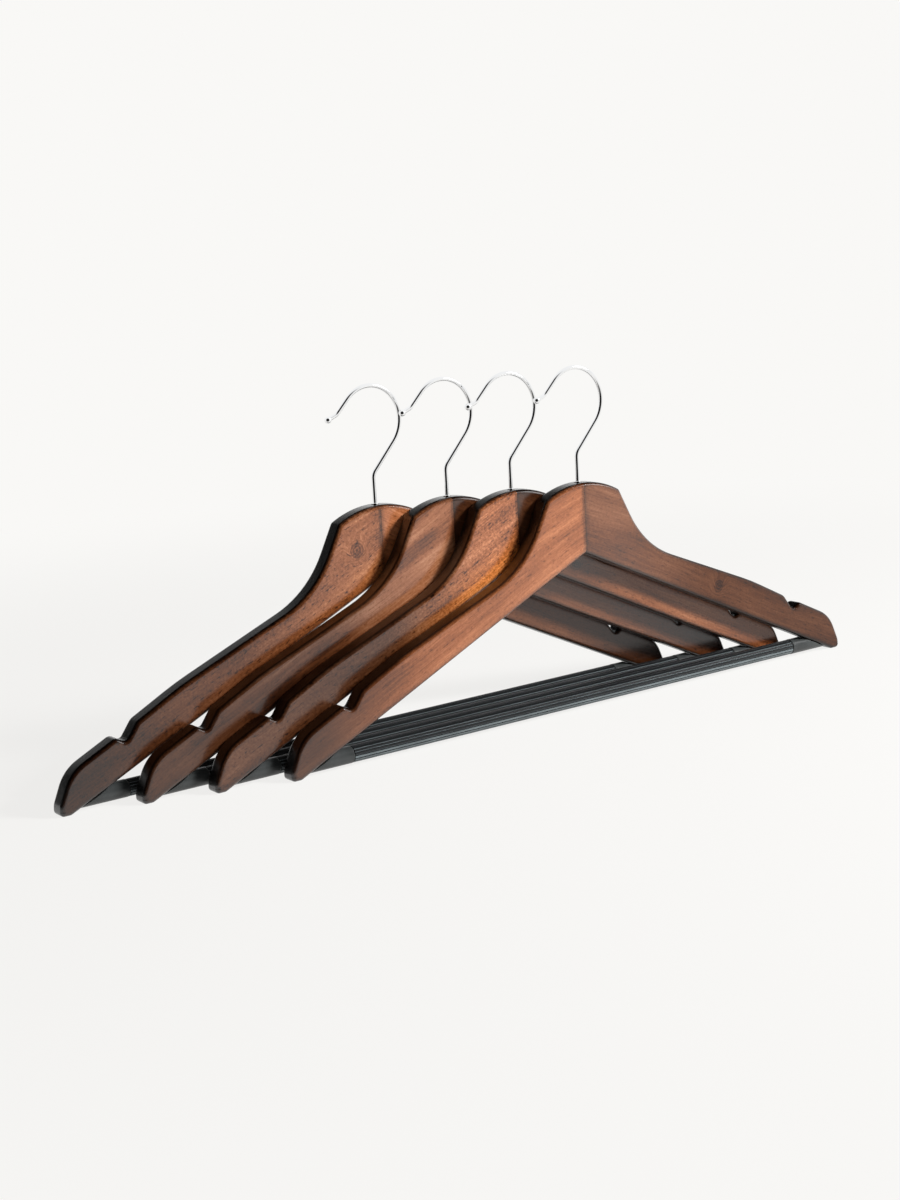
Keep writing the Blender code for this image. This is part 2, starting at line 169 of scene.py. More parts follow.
def rounded_path(corners):
    """Points of an open path along corners (x, z, radius), where each inner corner becomes an arc."""
    points = [Vector(corners[0][:2])]
    for before, (x, z, radius), after in zip(corners, corners[1:], corners[2:]):
        here = Vector((x, z))
        back = (Vector(before[:2]) - here).normalized()
        ahead = (Vector(after[:2]) - here).normalized()
        half_angle = back.angle(ahead) / 2
        centre = here + (back + ahead).normalized() * radius / math.sin(half_angle)
        start = here + back * radius / math.tan(half_angle) - centre
        end = here + ahead * radius / math.tan(half_angle) - centre
        start_angle = math.atan2(start.y, start.x)
        turn = -start.angle_signed(end)
        points.extend(arc(centre, radius, start_angle, start_angle + turn))
    points.append(Vector(corners[-1][:2]))
    return points


def densified(points, longest):
    """The same path, with long stretches split."""
    result = [points[0]]
    for start, end in zip(points, points[1:]):
        pieces = max(1, math.ceil((end - start).length / longest))
        result.extend(start.lerp(end, piece / pieces) for piece in range(1, pieces + 1))
    return result


def at_x(points, x):
    """The point where a path that runs towards +X crosses x, and the number of points before it."""
    for index, (start, end) in enumerate(zip(points, points[1:])):
        if start.x <= x <= end.x:
            return start.lerp(end, (x - start.x) / max(end.x - start.x, 1e-9)), index + 1
    raise ValueError("the path does not reach that far")


def evenly(points, count):
    """A path divided into count equal lengths."""
    lengths = [0.0]
    for start, end in zip(points, points[1:]):
        lengths.append(lengths[-1] + (end - start).length)
    result = []
    segment = 0
    for step in range(count + 1):
        wanted = lengths[-1] * step / count
        while segment < len(points) - 2 and lengths[segment + 1] < wanted:
            segment += 1
        stretch = max(lengths[segment + 1] - lengths[segment], 1e-12)
        share = min(1.0, (wanted - lengths[segment]) / stretch)
        result.append(points[segment].lerp(points[segment + 1], share))
    return result


def sideways(points, sign):
    """Unit normals of a path, to its left for sign +1 and to its right for -1."""
    normals = []
    for index in range(len(points)):
        ahead = points[min(index + 1, len(points) - 1)]
        behind = points[max(index - 1, 0)]
        tangent = (ahead - behind).normalized()
        normals.append(Vector((-tangent.y, tangent.x)) * sign)
    return normals


def mesh_from(name, points, faces):
    """Closed mesh from points and faces, with doubled points merged and its faces turned outward."""
    surface = bmesh.new()
    verts = [surface.verts.new(point) for point in points]
    for face in faces:
        surface.faces.new([verts[index] for index in face])
    bmesh.ops.remove_doubles(surface, verts=surface.verts, dist=1e-6)
    bmesh.ops.recalc_face_normals(surface, faces=surface.faces)
    mesh = bpy.data.meshes.new(name)
    surface.to_mesh(mesh)
    surface.free()
    return mesh


def ring_faces(rings, size, closed_path=False):
    """Faces between neighbouring rings of size points. A closed path joins the last ring to the first."""
    faces = []
    for ring in range(rings if closed_path else rings - 1):
        here = ring * size
        there = (ring + 1) % rings * size
        for index in range(size):
            after = (index + 1) % size
            faces.append((here + index, here + after, there + after, there + index))
    return faces


def turned_mesh(name, profile, segments, closed):
    """Mesh turned about Z from (radius, height) pairs. A closed profile makes a ring.

    An open profile runs from axis to axis.
    """
    points = []
    for segment in range(segments):
        around = direction(2 * math.pi * segment / segments)
        points.extend((radius * around.x, radius * around.y, height) for radius, height in profile)
    count = len(profile)
    faces = []
    for segment in range(segments):
        here = segment * count
        there = (segment + 1) % segments * count
        for index in range(count if closed else count - 1):
            after = (index + 1) % count
            corners = [here + index, here + after, there + after, there + index]
            on_axis = [profile[index][0] < 1e-9, profile[after][0] < 1e-9]
            if on_axis[0]:
                corners.pop(3)
            elif on_axis[1]:
                corners.pop(2)
            faces.append(corners)
    return mesh_from(name, points, faces)


def applied(obj):
    """Give an object its evaluated mesh, with no modifiers left."""
    depsgraph = bpy.context.evaluated_depsgraph_get()
    mesh = bpy.data.meshes.new_from_object(obj.evaluated_get(depsgraph), depsgraph=depsgraph)
    obj.modifiers.clear()
    obj.data = mesh
    return obj


def new_object(name, mesh):
    obj = bpy.data.objects.new(name, mesh)
    bpy.context.scene.collection.objects.link(obj)
    return obj


def shade(obj, sharp_angle=math.radians(32.0)):
    """Smooth shading that keeps large flat faces flat."""
    obj.data.shade_smooth()
    obj.data.set_sharp_from_angle(angle=sharp_angle)
    weighted = obj.modifiers.new("weighted", "WEIGHTED_NORMAL")
    weighted.keep_sharp = True
    weighted.weight = 100
    return applied(obj)


# ------------------------------------------------------------------------------------- hanger pieces

class Hanger:
    """Places of one hanger, read from its CAD nodes."""

    def __init__(self, name):
        left_low, left_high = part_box(f"{name}_left_arm")
        right_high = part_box(f"{name}_right_arm")[1]
        self.name = name
        self.body = name
        self.hook_body = name.replace("hanger", "hook")
        self.half_width = (right_high.x - left_low.x) / 2
        self.thickness = left_high.y - left_low.y
        self.crown_height = left_high.z
        self.place = Matrix.Translation(((right_high.x + left_low.x) / 2, left_low.y, left_low.z))

    def add(self, piece, mesh, material, slot, local=Matrix(), body=None):
        """Add a copy of a mesh for the CAD node of the same name, at its place in the hanger."""
        obj = new_object(f"{self.name}_{piece}_fine", mesh.copy())
        obj.data.materials.clear()
        obj.data.materials.append(material)
        obj.matrix_world = self.place @ local
        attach(obj, body or self.body)
        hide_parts(f"{self.name}_{piece}")
        return obj

    def paint(self, piece, material):
        """Give a CAD node that stays as it is its material."""
        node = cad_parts[f"{self.name}_{piece}"]
        node.data.materials.clear()
        node.data.materials.append(material)


def crown_point(x, height):
    return Vector((x, height - CROWN_RADIUS + math.sqrt(CROWN_RADIUS ** 2 - x ** 2)))


def board_paths(half_width, crown_height):
    """Upper and lower edge of a right board, as two paths that meet at the outside of its tip."""
    tip_side = (half_width, TIP_SIDE_HEIGHT, 0.0)
    crown_steps = 24
    crown = []
    for step in range(crown_steps + 1):
        crown.append(crown_point(-OVERRUN + (CROWN_HALF_WIDTH + OVERRUN) * step / crown_steps, crown_height))
    upper = crown[:-2] + rounded_path((
        (*crown[-2], 0.0),
        (*crown[-1], CROWN_CORNER_ROUND),
        *UPPER_CORNERS,
        (half_width, TIP_CORNER_HEIGHT, TIP_CORNER_ROUND),
        tip_side,
    ))
    slope = MITRE_FOOT_HEIGHT / LOWER_EDGE_END
    lower = rounded_path((
        (-OVERRUN, MITRE_FOOT_HEIGHT + OVERRUN * slope, 0.0),
        (LOWER_EDGE_END, 0.0, FOOT_ROUNDS[0]),
        (half_width, 0.0, FOOT_ROUNDS[1]),
        tip_side,
    ))
    return densified(upper, 3.0 * MM), lower


def board_columns(half_width, crown_height):
    """Pairs of upper and lower points: upright across the arm, fanned around the tip."""
    fan_start = half_width - FAN_LENGTH
    fan_steps = 26
    upper, lower = board_paths(half_width, crown_height)
    upper_end, upper_count = at_x(upper, fan_start)
    lower_end, lower_count = at_x(lower, fan_start)
    straight = upper[:upper_count]
    below = [at_x(lower, point.x)[0] for point in straight]
    straight += evenly([upper_end, *upper[upper_count:]], fan_steps)
    below += evenly([lower_end, *lower[lower_count:]], fan_steps)
    return straight, below


def board_section(thickness):
    """Rounding of an edge from the front face to the rear face, as (inset, depth) pairs."""
    section = []
    for step in range(EDGE_STEPS + 1):
        angle = math.pi / 2 * (1 - step / EDGE_STEPS)
        section.append((EDGE_ROUND * (1 - math.cos(angle)), EDGE_ROUND * (1 - math.sin(angle))))
    return section + [(inset, thickness - depth) for inset, depth in reversed(section)]


def board_mesh(side, hanger):
    """One arm's board: rounded edges, flat faces, a mitred end, and bores for hook, dowels, bar and pin."""
    mesh = solid_board(side, hanger)
    cut_mitre(mesh, SIDES[side])
    board = new_object(f"{side}_board", mesh)
    cutters = [hook_bore(hanger), *dowel_bores(hanger), tenon_bore(side, hanger), pin_bore(side, hanger)]
    for cutter in cutters:
        boolean = board.modifiers.new(cutter.name, "BOOLEAN")
        boolean.operation = "DIFFERENCE"
        boolean.object = cutter
    applied(board)
    for cutter in cutters:
        bpy.data.objects.remove(cutter, do_unlink=True)
    shade(board)
    mesh = board.data
    bpy.data.objects.remove(board, do_unlink=True)
    return mesh


def solid_board(side, hanger):
    """The board before cutting, drawn as rings around its upper and lower edge."""
    upper, lower = board_columns(hanger.half_width, hanger.crown_height)
    section = board_section(hanger.thickness)
    rows = [row / FACE_ROWS for row in range(1, FACE_ROWS)]
    points = []
    for top, top_normal, foot, foot_normal in zip(upper, sideways(upper, 1), lower, sideways(lower, -1)):
        over = [(top - top_normal * inset, depth) for inset, depth in section]
        under = [(foot - foot_normal * inset, depth) for inset, depth in reversed(section)]
        rear = [(over[-1][0].lerp(under[0][0], row), hanger.thickness) for row in rows]
        front = [(under[-1][0].lerp(over[0][0], row), 0.0) for row in rows]
        for place, depth in (*over, *rear, *under, *front):
            points.append((SIDES[side] * place.x, depth, place.y))
    size = len(points) // len(upper)
    return mesh_from(f"{side}_board", points, ring_faces(len(upper), size))


def cut_mitre(mesh, sign):
    """Cut a board near the centre line, close it and break the sharp edge."""
    surface = bmesh.new()
    surface.from_mesh(mesh)
    everything = [*surface.verts, *surface.edges, *surface.faces]
    bmesh.ops.bisect_plane(
        surface, geom=everything, plane_co=(sign * MITRE_GAP, 0, 0), plane_no=(-sign, 0, 0), clear_outer=True
    )
    rim = [edge for edge in surface.edges if edge.is_boundary]
    face = bmesh.ops.contextual_create(surface, geom=rim)["faces"][0]
    edges = list(face.edges)
    bmesh.ops.bevel(surface, geom=edges, offset=MITRE_CHAMFER, segments=2, profile=0.5, affect="EDGES")
    bmesh.ops.recalc_face_normals(surface, faces=surface.faces)
    surface.to_mesh(mesh)
    surface.free()


def along_x(hanger, x, z):
    """Place for a piece turned about Z that lies along X in the middle of the board."""
    return Matrix.Translation((x, hanger.thickness / 2, z)) @ Matrix.Rotation(math.pi / 2, 4, "Y")


def on_hook_axis(hanger):
    return Matrix.Translation((0.0, hanger.thickness / 2, hanger.crown_height))


def hook_bore(hanger):
    """Cutter for the collar, the wire and the pocket of the hook's head."""
    above_crown = 6.0 * MM
    profile = (
        (0.0, above_crown),
        (COLLAR_RADIUS + GAP, above_crown),
        (COLLAR_RADIUS + GAP, -COLLAR_DEPTH - GAP),
        (WIRE_RADIUS + GAP, -COLLAR_DEPTH - GAP),
        (WIRE_RADIUS + GAP, -POCKET_TOP),
        (POCKET_RADIUS, -POCKET_TOP),
        (POCKET_RADIUS, -POCKET_BOTTOM),
        (0.0, -POCKET_BOTTOM),
    )
    cutter = new_object("hook_bore", turned_mesh("hook_bore", profile, 48, closed=False))
    cutter.matrix_world = on_hook_axis(hanger)
    return cutter


def rod_mesh(name, radius, length, segments):
    """A rod along Z with chamfered ends."""
    chamfer = min(0.25 * radius, 0.3 * MM)
    end = length / 2
    profile = (
        (0.0, end),
        (radius - chamfer, end),
        (radius, end - chamfer),
        (radius, chamfer - end),
        (radius - chamfer, -end),
        (0.0, -end),
    )
    return turned_mesh(name, profile, segments, closed=False)


def dowel_bores(hanger):
    cutters = []
    for depth in DOWEL_DEPTHS:
        mesh = rod_mesh("dowel_bore", DOWEL_RADIUS + GAP, 2 * (DOWEL_HALF_LENGTH + GAP), 32)
        cutter = new_object("dowel_bore", mesh)
        cutter.matrix_world = along_x(hanger, 0.0, hanger.crown_height - depth)
        cutters.append(cutter)
    return cutters


def tenon_bore(side, hanger):
    end = TENON_END + GAP
    mesh = rod_mesh("tenon_bore", TENON_RADIUS + GAP, end - SLEEVE_HALF_LENGTH, 40)
    cutter = new_object("tenon_bore", mesh)
    cutter.matrix_world = along_x(hanger, SIDES[side] * (SLEEVE_HALF_LENGTH + end) / 2, BAR_HEIGHT)
    return cutter


def pin_place(side, y):
    return Matrix.Translation((SIDES[side] * PIN_X, y, BAR_HEIGHT)) @ Matrix.Rotation(-math.pi / 2, 4, "X")


def pin_bore(side, hanger):
    overrun = 2 * GAP
    length = PIN_LENGTH + 2 * GAP + overrun
    cutter = new_object("pin_bore", rod_mesh("pin_bore", PIN_RADIUS + GAP, length, 24))
    cutter.matrix_world = pin_place(side, hanger.thickness + overrun - length / 2)
    return cutter


def hook_path():
    """Points (x, z) of the wire's centre line from the crown's neck to the start of the ball tip."""
    bend_centre = Vector((HOOK_CENTRE_X, HOOK_CENTRE_ABOVE_CROWN))
    bend = arc(bend_centre, HOOK_RADIUS, HOOK_LEAN - math.pi / 2, HOOK_OPENING, math.radians(3.0))
    lean_height = bend[0].y - bend[0].x * math.tan(HOOK_LEAN)
    neck_reach = HOOK_NECK_ROUND * math.tan((math.pi / 2 - HOOK_LEAN) / 2)
    neck_centre = Vector((HOOK_NECK_ROUND, lean_height - neck_reach))
    neck = arc(neck_centre, HOOK_NECK_ROUND, math.pi, math.pi / 2 + HOOK_LEAN)
    mouth_end = bend[-1] + HOOK_MOUTH_LENGTH * direction(HOOK_OPENING + math.pi / 2)
    flick_centre = mouth_end + HOOK_FLICK_ROUND * direction(HOOK_OPENING)
    flick_start = HOOK_OPENING + math.pi
    flick = arc(flick_centre, HOOK_FLICK_ROUND, flick_start, flick_start - HOOK_FLICK_TURN)
    return densified([*neck, *bend, *flick], 2.0 * MM)


def hook_stations():
    """Places and radii along the whole hook, from its upset head to its ball tip."""
    head = []
    for share, radius in HEAD_PROFILE:
        head.append((Vector((0.0, HEAD_TOP - share * HOOK_HEAD_THICKNESS)), radius * HOOK_HEAD_RADIUS))
    head.append((Vector((0.0, HEAD_TOP)), WIRE_RADIUS))
    path = hook_path()
    shank = densified([Vector((0.0, HEAD_TOP + 0.2 * MM)), path[0]], 3.0 * MM)[:-1]
    wire = [(place, WIRE_RADIUS) for place in (*shank, *path)]
    return [*head, *wire, *ball_stations(path[-1])]


def ball_stations(wire_end):
    """Places and radii of the ball tip beyond the end of the wire's path."""
    outward = direction(HOOK_OPENING + math.pi / 2 - HOOK_FLICK_TURN)
    centre = wire_end + outward * HOOK_FLICK_LENGTH
    start = math.pi - math.asin(WIRE_RADIUS / BALL_RADIUS)
    steps = 16
    ball = []
    for step in range(steps + 1):
        angle = start * (1 - step / steps)
        ball.append((centre + outward * BALL_RADIUS * math.cos(angle), BALL_RADIUS * math.sin(angle)))
    return ball


def hook_mesh():
    """The wire, swept along its path in the XZ plane."""
    segments = 28
    stations = hook_stations()
    places = [place for place, radius in stations]
    points = []
    for (place, radius), normal in zip(stations, sideways_of_sweep(places)):
        for segment in range(segments):
            around = direction(2 * math.pi * segment / segments) * radius
            points.append((place.x + normal.x * around.x, around.y, place.y + normal.y * around.x))
    return mesh_from("hook", points, ring_faces(len(stations), segments))


def sideways_of_sweep(places):
    """Normals of a swept path, carried over stretches where neighbouring places coincide."""
    normals = []
    last = Vector((-1.0, 0.0))
    for index in range(len(places)):
        ahead = places[min(index + 1, len(places) - 1)]
        behind = places[max(index - 1, 0)]
        tangent = ahead - behind
        if tangent.length > 1e-7:
            last = Vector((-tangent.y, tangent.x)).normalized()
        normals.append(last)
    return normals


def collar_mesh():
    """Collar with a rounded rim."""
    bore = WIRE_RADIUS + 0.5 * GAP
    rounding = 0.25 * MM
    chamfer = 0.1 * MM
    rim_centre = Vector((COLLAR_RADIUS - rounding, COLLAR_RISE - rounding))
    rim = [rim_centre + rounding * direction(math.radians(angle)) for angle in (90, 67, 45, 22, 0)]
    profile = [
        (bore + chamfer, COLLAR_RISE),
        *rim,
        (COLLAR_RADIUS, -COLLAR_DEPTH),
        (bore, -COLLAR_DEPTH),
        (bore, COLLAR_RISE - chamfer),
    ]
    return turned_mesh("collar", profile, 48, closed=True)


def ribbed_ring(inset):
    """Outline of the sleeve: rounded ribs with narrow grooves between them."""
    points_per_rib = 12
    points = []
    for index in range(RIB_COUNT * points_per_rib):
        phase = index / points_per_rib % 1.0
        rise = min(1.0, 1.45 * (1 - abs(2 * phase - 1) ** 3.2))
        radius = SLEEVE_RADIUS - RIB_HEIGHT * (1 - rise) - inset
        points.append(radius * direction(2 * math.pi * index / (RIB_COUNT * points_per_rib)))
    return points


def sleeve_mesh():
    """Ribbed tube along Z, with softened ends."""
    soften = 0.3 * MM
    end = SLEEVE_HALF_LENGTH
    outer = ((end - soften, 0.0), (end - 0.3 * soften, 0.12 * MM), (end, 0.35 * MM))
    rings = [(height, ribbed_ring(inset)) for height, inset in reversed(outer)]
    rings = [(-height, ring) for height, ring in rings]
    spans = 24
    for step in range(1, spans):
        rings.append(((2 * step / spans - 1) * (end - soften), ribbed_ring(0.0)))
    rings += [(height, ribbed_ring(inset)) for height, inset in outer]
    size = len(rings[0][1])
    bore = [(CORE_RADIUS + GAP) * direction(2 * math.pi * index / size) for index in range(size)]
    rings += [(end, bore), (-end, bore)]
    points = [(point.x, point.y, height) for height, ring in rings for point in ring]
    return mesh_from("sleeve", points, ring_faces(len(rings), size, closed_path=True))


def cap_mesh(side):
    """Smooth bar end along X, from the sleeve to the arm's sloping lower edge."""
    sign = SIDES[side]
    segments = 64
    near = SLEEVE_HALF_LENGTH + GAP
    soften = 0.6 * MM
    slope = MITRE_FOOT_HEIGHT / LOWER_EDGE_END
    clearance = GAP / math.sin(math.atan(slope))
    bore = TENON_RADIUS + GAP
    profile = [(bore, near)]
    for angle in (90, 60, 30, 0):
        turned = direction(math.radians(angle)) * soften
        profile.append((CAP_RADIUS - soften + turned.x, near + soften - turned.y))
    points = []
    for segment in range(segments):
        around = direction(2 * math.pi * segment / segments)
        outline = list(profile)
        for radius in (CAP_RADIUS, bore):
            far = LOWER_EDGE_END - clearance - (BAR_HEIGHT + radius * around.y) / slope
            outline.append((radius, far))
        points.extend((sign * x, radius * around.x, radius * around.y) for radius, x in outline)
    return mesh_from("bar_end", points, ring_faces(segments, len(profile) + 2, closed_path=True))


def pin_mesh():
    """Panel pin along Z with a slightly domed head at +Z."""
    end = PIN_LENGTH / 2
    dome = [(PIN_RADIUS * math.sin(angle), end - 0.12 * MM * (1 - math.cos(angle)))
            for angle in (math.radians(step) for step in (0, 20, 40, 60, 80, 90))]
    profile = [*dome, (PIN_RADIUS, 1.0 * MM - end), (0.0, -end)]
    return turned_mesh("pin", profile, 24, closed=False)


# ----------------------------------------------------------------------------------------- materials

class Graph:
    """Small helper around a node tree."""

    def __init__(self, tree):
        self.tree = tree

    def node(self, kind, inputs=None, **settings):
        made = self.tree.nodes.new(kind)
        for key, value in settings.items():
            setattr(made, key, value)
        for key, value in (inputs or {}).items():
            self.feed(made.inputs[key], value)
        return made

    def feed(self, socket, value):
        if isinstance(value, bpy.types.NodeSocket):
            self.tree.links.new(value, socket)
        else:
            socket.default_value = value

    def math(self, operation, *values):
        return self.node("ShaderNodeMath", dict(enumerate(values)), operation=operation).outputs[0]

    def add(self, *values):
        total = values[0]
        for value in values[1:]:
            total = self.math("ADD", total, value)
        return total

    def times(self, *values):
        total = values[0]
        for value in values[1:]:
            total = self.math("MULTIPLY", total, value)
        return total

    def choose(self, otherwise, share, value):
        """The value where share is 1, otherwise the other one."""
        return self.add(otherwise, self.times(share, self.add(value, self.times(otherwise, -1.0))))

    def split(self, vector):
        return self.node("ShaderNodeSeparateXYZ", {0: vector}).outputs

    def join(self, x, y, z):
        return self.node("ShaderNodeCombineXYZ", {0: x, 1: y, 2: z}).outputs[0]

    def step(self, value, low, high, to_low=0.0, to_high=1.0):
        """Smooth step from to_low at low to to_high at high."""
        inputs = {0: value, 1: low, 2: high, 3: to_low, 4: to_high}
        return self.node("ShaderNodeMapRange", inputs, interpolation_type="SMOOTHSTEP").outputs[0]

    def noise(self, place, scale=1.0, detail=2.0, roughness=0.5):
        inputs = {"Vector": place, "Scale": scale, "Detail": detail, "Roughness": roughness}
        return self.node("ShaderNodeTexNoise", inputs).outputs["Fac"]

    def centred(self, noise, amount):
        """A noise turned into a swing of about +-amount around zero."""
        return self.times(self.add(noise, -0.5), 2.0 * amount)

    def ramp(self, value, stops):
        node = self.node("ShaderNodeValToRGB", {0: value})
        elements = node.color_ramp.elements
        while len(elements) < len(stops):
            elements.new(0.5)
        for element, (place, colour) in zip(elements, stops):
            element.position = place
            element.color = (*colour, 1.0)
        return node.outputs[0]

    def mix(self, share, a, b, blend="MIX"):
        node = self.node("ShaderNodeMix", data_type="RGBA", blend_type=blend)
        self.feed(node.inputs["Factor"], share)
        self.feed(node.inputs["A"], self.colour(a))
        self.feed(node.inputs["B"], self.colour(b))
        return node.outputs["Result"]

    def colour(self, value):
        if isinstance(value, tuple) and len(value) == 3:
            return (*value, 1.0)
        return value

    def grey(self, value):
        """A colour with the same number in each channel."""
        return self.node("ShaderNodeCombineColor", {0: value, 1: value, 2: value}).outputs[0]

    def bump(self, height, distance, strength):
        inputs = {"Height": height, "Distance": distance, "Strength": strength}
        return self.node("ShaderNodeBump", inputs).outputs[0]

    def object_place(self):
        """Place of the shaded point in its own object's coordinates."""
        return self.node("ShaderNodeTexCoord").outputs["Object"]

    def normal(self):
        return self.split(self.node("ShaderNodeNewGeometry").outputs["Normal"])


def new_material(name):
    """A material and the graph around its Principled shader."""
    material = bpy.data.materials.new(name)
    material.use_nodes = True
    shader = material.node_tree.nodes["Principled BSDF"]
    return material, Graph(material.node_tree), shader


class BoardLook:
    """What makes one board differ from the next."""

    def __init__(self, seed, crown, middle, tip, figure=1.0, speckle=0.5, warm_reflection=0.0, gloss=1.0, knots=()):
        self.seed = seed                # place of the board in the endless wood
        self.crown = crown              # brightness near the mitre, mid-arm and at the tip: partly the stain's tone, partly painted light and shade
        self.middle = middle
        self.tip = tip
        self.figure = figure            # strength of streaks and rings
        self.speckle = speckle          # strength of pores and mottling
        self.warm_reflection = warm_reflection              # painted warm reflection: lighter orange along the lower edge beside the mitre
        self.gloss = gloss              # weight of the lacquer away from the mitre
        self.knots = knots              # (distance from the mitre, height, radius) in metres


BOARD_LOOKS = {
    "hanger_1_left": BoardLook(1.3, 1.08, 0.52, 0.15, 0.8, 1.2, 0.35, 0.75, ((19 * MM, 121 * MM, 4.5 * MM),)),
    "hanger_1_right": BoardLook(2.7, 1.40, 0.45, 0.14, 0.8, 0.7, 0.0, 0.6),
    "hanger_2_left": BoardLook(4.1, 0.95, 0.34, 0.26, 1.3, 0.7, 0.0, 0.75),
    "hanger_2_right": BoardLook(5.9, 0.25, 0.66, 0.36, 1.0, 0.6, 0.0, 0.8),
    "hanger_3_left": BoardLook(7.2, 1.45, 0.24, 0.34, 1.1, 1.4, 0.9, 0.8),
    "hanger_3_right": BoardLook(8.8, 0.25, 0.95, 0.80, 1.0, 0.7, 0.0, 0.6, ((45 * MM, 92 * MM, 3.5 * MM),)),
    "hanger_4_left": BoardLook(10.4, 1.42, 1.32, 0.29, 0.7, 0.5, 0.0, 0.8),
    "hanger_4_right": BoardLook(12.1, 0.60, 0.34, 0.28, 0.9, 0.6, 0.0, 0.3, ((112 * MM, 62 * MM, 4 * MM),)),
}

GRAIN_ANGLE = math.atan(MITRE_FOOT_HEIGHT / LOWER_EDGE_END)
WOOD_STOPS = (
    (0.00, (0.026, 0.0065, 0.0028)),
    (0.30, (0.112, 0.033, 0.0115)),
    (0.55, (0.262, 0.081, 0.027)),
    (0.78, (0.400, 0.144, 0.059)),
    (1.00, (0.550, 0.238, 0.120)),
)
# tint that lightens the wood to paint a warm reflection beside the mitre
WARM_REFLECTION_TINT = (1.60, 1.50, 0.90)
CROWN_ZONE = 15.0 * MM                  # distances from the centre line where the arms' zones begin and end
GLOSS_ZONE = 20.0 * MM
MIDDLE_ZONE = 110.0 * MM
TIP_ZONE = 215.0 * MM
RIM_SHADE_WIDTH = 6.0 * MM                    # reach of the painted shade around a face, near its rounded edges
